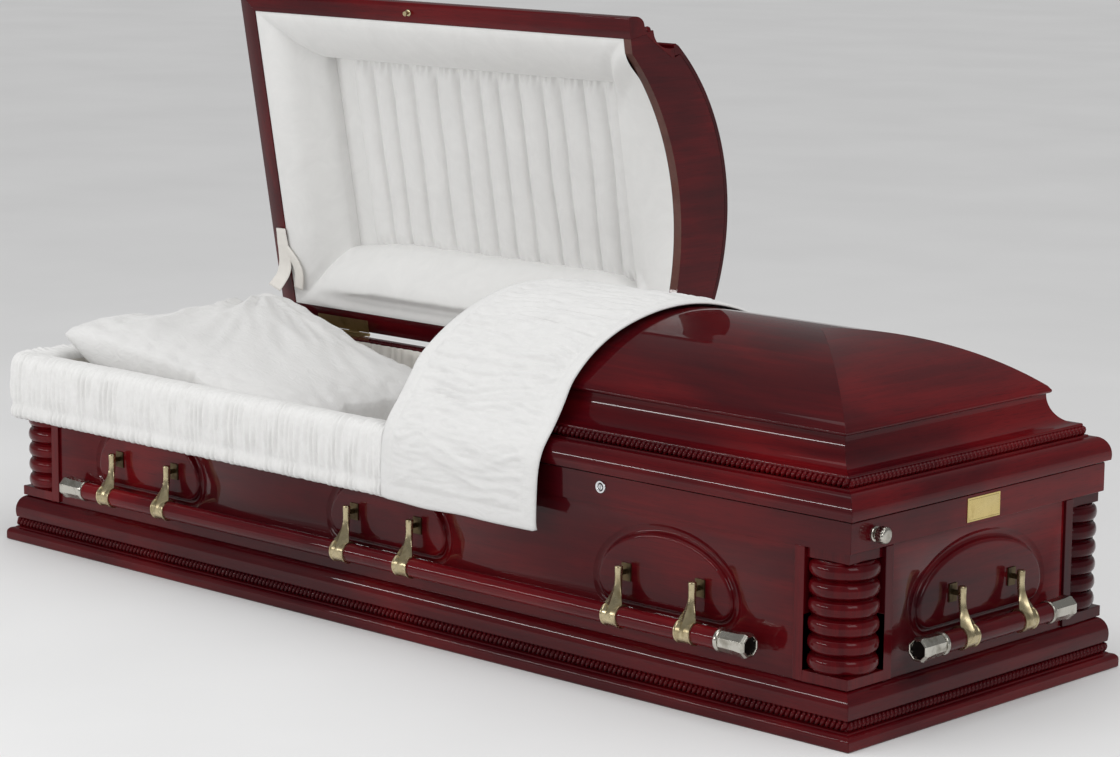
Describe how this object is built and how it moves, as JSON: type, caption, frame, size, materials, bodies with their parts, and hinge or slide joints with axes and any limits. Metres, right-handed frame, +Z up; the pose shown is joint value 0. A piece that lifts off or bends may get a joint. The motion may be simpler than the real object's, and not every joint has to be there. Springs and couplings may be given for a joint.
{
  "type": "funeral casket",
  "caption": "Half-couch wooden funeral casket: moulded base, ring-turned corner columns, carved arches, swing-bar handles, hinged domed lids and a white velvet interior.",
  "frame": {"origin": "centre of the flat underside", "axes": "+X to the foot end, +Y to the hinge side, +Z up"},
  "size_m": [2.169, 0.9187, 1.0596],
  "materials": {
    "cherry_finished_wood": "high-gloss cherry-stained hardwood",
    "bar_wood": "high-gloss cherry-stained round bar",
    "white_velvet": "crushed velvet, soft sheen",
    "mattress_ticking": "plain woven cover",
    "antique_brass": "brushed antique brass",
    "hinge_brass": "satin",
    "plate_brass": "polished",
    "aged_silver": "darkened silver",
    "bright_chrome": "polished"
  },
  "bodies": {
    "casket": {"bottom_board": "cherry_finished_wood", "base_moulding_front": "cherry_finished_wood", "base_moulding_rear": "cherry_finished_wood", "base_moulding_head": "cherry_finished_wood", "base_moulding_foot": "cherry_finished_wood", "panel_front": "cherry_finished_wood", "panel_rear": "cherry_finished_wood", "panel_head": "cherry_finished_wood", "panel_foot": "cherry_finished_wood", "top_rail_front": "cherry_finished_wood", "top_rail_rear": "cherry_finished_wood", "top_rail_head": "cherry_finished_wood", "top_rail_foot": "cherry_finished_wood", "corner_post_front_head": "cherry_finished_wood", "corner_post_front_foot": "cherry_finished_wood", "corner_post_rear_head": "cherry_finished_wood", "corner_post_rear_foot": "cherry_finished_wood", "corner_column_front_head": "cherry_finished_wood", "corner_column_front_foot": "cherry_finished_wood", "corner_column_rear_head": "cherry_finished_wood", "corner_column_rear_foot": "cherry_finished_wood", "name_plate": "plate_brass", "lock_knob": "antique_brass", "keyhole": "bright_chrome", "mattress": "mattress_ticking", "pillow": "white_velvet", "lining_front": "white_velvet", "lining_rear": "white_velvet", "lining_head": "white_velvet", "lining_foot": "white_velvet", "skirt_front": "white_velvet", "skirt_head": "white_velvet", "hinge_body_leaves": "hinge_brass", "handle_lugs": "antique_brass"},
    "head_lid": {"head_lid_moulding": "cherry_finished_wood", "head_lid_crown": "cherry_finished_wood", "head_lid_header": "cherry_finished_wood", "head_lid_puff_frame": "white_velvet", "head_lid_puff_end": "white_velvet", "head_lid_tufted_panel": "white_velvet", "head_lid_catch": "antique_brass", "stay_sleeve": "white_velvet", "hinge_head_lid_leaves": "hinge_brass"},
    "foot_lid": {"throw": "white_velvet", "foot_lid_moulding": "cherry_finished_wood", "foot_lid_crown": "cherry_finished_wood", "foot_lid_header": "cherry_finished_wood", "hinge_foot_lid_leaves": "hinge_brass"},
    "front_handle": {"handle_front_bar": "bar_wood", "handle_front_arms": "antique_brass", "handle_front_tips": "aged_silver"},
    "rear_handle": {"handle_rear_bar": "bar_wood", "handle_rear_arms": "antique_brass", "handle_rear_tips": "aged_silver"},
    "head_handle": {"handle_head_bar": "bar_wood", "handle_head_arms": "antique_brass", "handle_head_tips": "aged_silver"},
    "foot_handle": {"handle_foot_bar": "bar_wood", "handle_foot_arms": "antique_brass", "handle_foot_tips": "aged_silver"}
  },
  "joints": [
    {"name": "head_lid_hinge", "type": "hinge", "parent": "casket", "child": "head_lid", "pos_m": [-0.5, 0.3567, 0.3585], "axis": [-1, 0, 0], "range_deg": [-80, 0], "deforming": ["throw", "skirt_front", "skirt_head", "stay_sleeve"]},
    {"name": "foot_lid_hinge", "type": "hinge", "parent": "casket", "child": "foot_lid", "pos_m": [0.5, 0.3567, 0.3585], "axis": [-1, 0, 0], "range_deg": [0, 80]},
    {"name": "front_handle_swing", "type": "hinge", "parent": "casket", "child": "front_handle", "pos_m": [0, -0.366, 0.205], "axis": [-1, 0, 0], "range_deg": [0, 85]},
    {"name": "rear_handle_swing", "type": "hinge", "parent": "casket", "child": "rear_handle", "pos_m": [0, 0.366, 0.205], "axis": [1, 0, 0], "range_deg": [0, 85]},
    {"name": "head_handle_swing", "type": "hinge", "parent": "casket", "child": "head_handle", "pos_m": [-1.056, 0, 0.205], "axis": [0, 1, 0], "range_deg": [0, 85]},
    {"name": "foot_handle_swing", "type": "hinge", "parent": "casket", "child": "foot_handle", "pos_m": [1.056, 0, 0.205], "axis": [0, -1, 0], "range_deg": [0, 85]}
  ]
}
